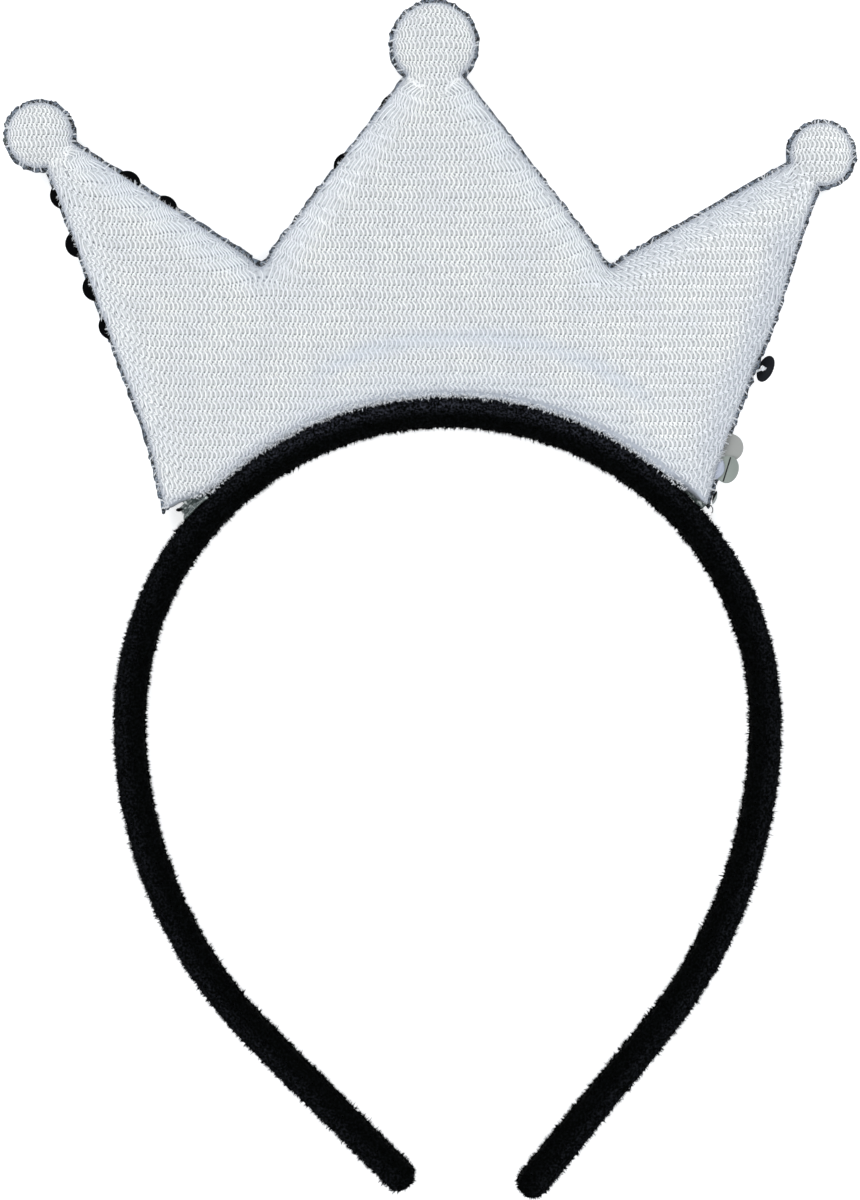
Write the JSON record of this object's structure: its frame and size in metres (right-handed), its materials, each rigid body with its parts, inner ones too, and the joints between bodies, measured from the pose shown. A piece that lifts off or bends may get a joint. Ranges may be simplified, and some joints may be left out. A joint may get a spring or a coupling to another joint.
{
  "type": "mini crown headband",
  "caption": "Padded cloth crown with three ball-tipped peaks, glued to a slim plush-covered hoop that springs onto the head.",
  "frame": {"origin": "middle of the hoop's top arc, on the surface that the part lies on", "axes": "+Y to the crown's top, +Z out of the crown's back, +X to the right seen from the back"},
  "size_m": [0.1657, 0.2328, 0.011],
  "materials": {
    "plush": "short matte pile",
    "speckled_cloth": "matte knit, speckled black and slate grey",
    "knit_cloth": "matte zigzag-ribbed knit",
    "hot_glue": "clear, slightly milky",
    "black_sequin": "flat satin film",
    "grey_sequin": "flat satin film"
  },
  "bodies": {
    "root": {"headband": "plush", "crown_front": "speckled_cloth", "crown_back": "knit_cloth", "glue_strip": "hot_glue", "black_sequin_1": "black_sequin", "black_sequin_2": "black_sequin", "black_sequin_3": "black_sequin", "black_sequin_4": "black_sequin", "black_sequin_5": "black_sequin", "black_sequin_6": "black_sequin", "black_sequin_7": "black_sequin", "black_sequin_8": "black_sequin", "hanging_sequin": "black_sequin", "grey_sequin": "grey_sequin", "creased_sequin": "grey_sequin", "sequin_scrap": "grey_sequin"}
  },
  "joints": []
}
